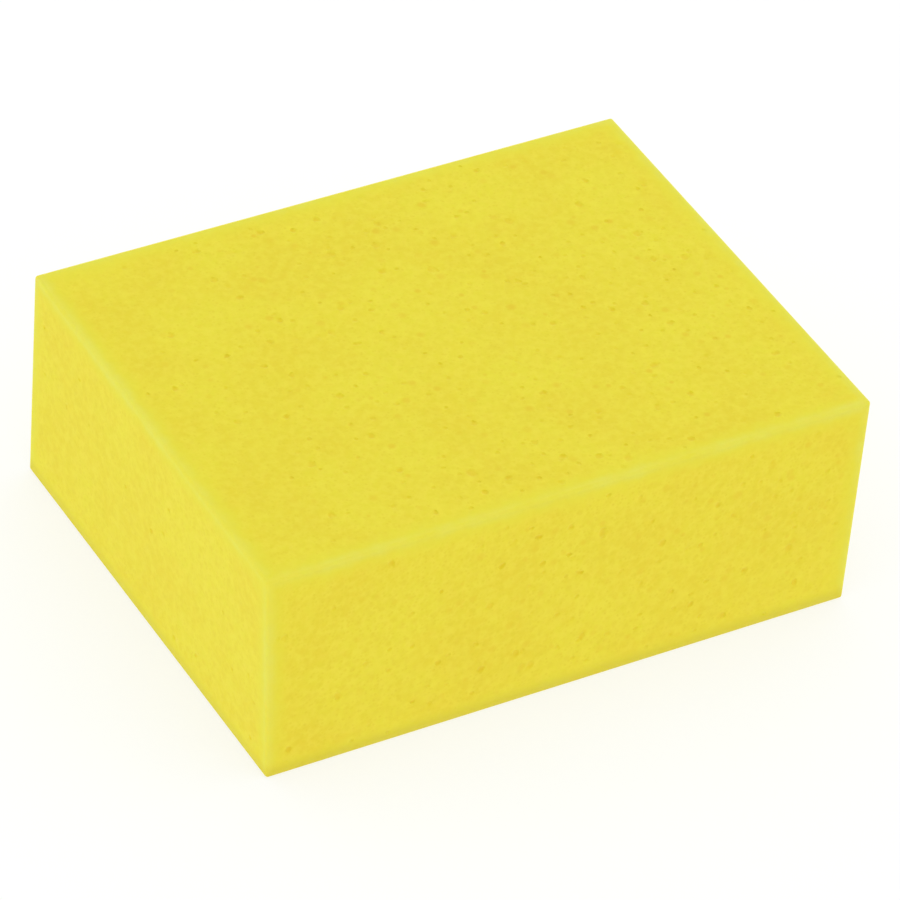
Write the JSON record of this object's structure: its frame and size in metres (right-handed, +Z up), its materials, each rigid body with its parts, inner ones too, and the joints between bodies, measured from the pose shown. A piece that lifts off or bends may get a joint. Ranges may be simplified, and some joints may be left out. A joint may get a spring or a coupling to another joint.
{
  "type": "grouting sponge",
  "caption": "Rectangular brick of soft open-cell foam with flat cut faces and softened edges, for wiping grout off tiled surfaces by hand.",
  "frame": {"origin": "centre of the underside, the large flat face that the sponge rests on and wipes with", "axes": "+X along the length, +Y across the width, +Z up through the thickness"},
  "size_m": [0.16, 0.125, 0.06],
  "materials": {
    "foam": "bright yellow open-cell polyurethane foam, knife-cut, fully matte"
  },
  "bodies": {
    "root": {"foam_block": "foam"}
  },
  "joints": []
}
